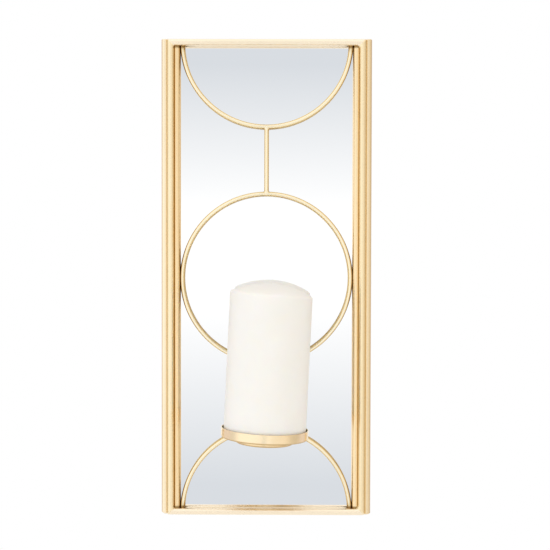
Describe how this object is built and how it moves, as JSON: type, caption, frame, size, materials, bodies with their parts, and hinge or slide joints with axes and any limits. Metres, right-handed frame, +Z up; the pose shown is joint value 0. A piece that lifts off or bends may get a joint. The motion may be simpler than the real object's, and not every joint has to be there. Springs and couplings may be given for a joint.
{
  "type": "wall sconce candle holder",
  "caption": "Tall wall sconce with a rod frame, a mirror back, wire circle and half circles, and a round tray that holds a pillar candle.",
  "frame": {"origin": "midway between the two hanging holes, on the wall", "axes": "+X right as seen from the front, +Y back into the wall, +Z up; the front faces -Y"},
  "size_m": [0.2046, 0.1015, 0.4636],
  "materials": {
    "gold_rod": "satin gold plating on steel rod",
    "gold_strip": "satin gold plating on flat steel",
    "gold_tray": "polished gold plating on sheet steel",
    "mirror": "silvered float glass",
    "board": "black painted fibreboard",
    "steel": "zinc plated",
    "rubber": "matte",
    "wax": "smooth ivory wax",
    "cotton": "braided cotton"
  },
  "bodies": {
    "sconce": {"top_rail": "gold_rod", "bottom_rail": "gold_rod", "left_upright": "gold_rod", "right_upright": "gold_rod", "left_outer_rod": "gold_rod", "right_outer_rod": "gold_rod", "left_inner_rod": "gold_rod", "right_inner_rod": "gold_rod", "upper_arc": "gold_rod", "upper_link": "gold_rod", "ring": "gold_rod", "lower_link": "gold_rod", "lower_arc": "gold_rod", "top_back_strip": "gold_strip", "bottom_back_strip": "gold_strip", "left_back_strip": "gold_strip", "right_back_strip": "gold_strip", "mirror_glass": "mirror", "backing_board": "board", "retaining_tabs": "steel", "left_hanger_plate": "gold_strip", "right_hanger_plate": "gold_strip", "wall_bumpers": "rubber", "tray_arm": "gold_strip", "support_pan": "gold_tray", "tray": "gold_tray", "tray_screw": "steel"},
    "loose_candle": {"candle": "wax", "wick": "cotton", "wick_tab": "steel"}
  },
  "joints": [
    {"name": "candle_lift", "type": "slide", "parent": "sconce", "child": "loose_candle", "axis": [0.0471, 0, 0.9989], "range_m": [0, 0.12]}
  ]
}
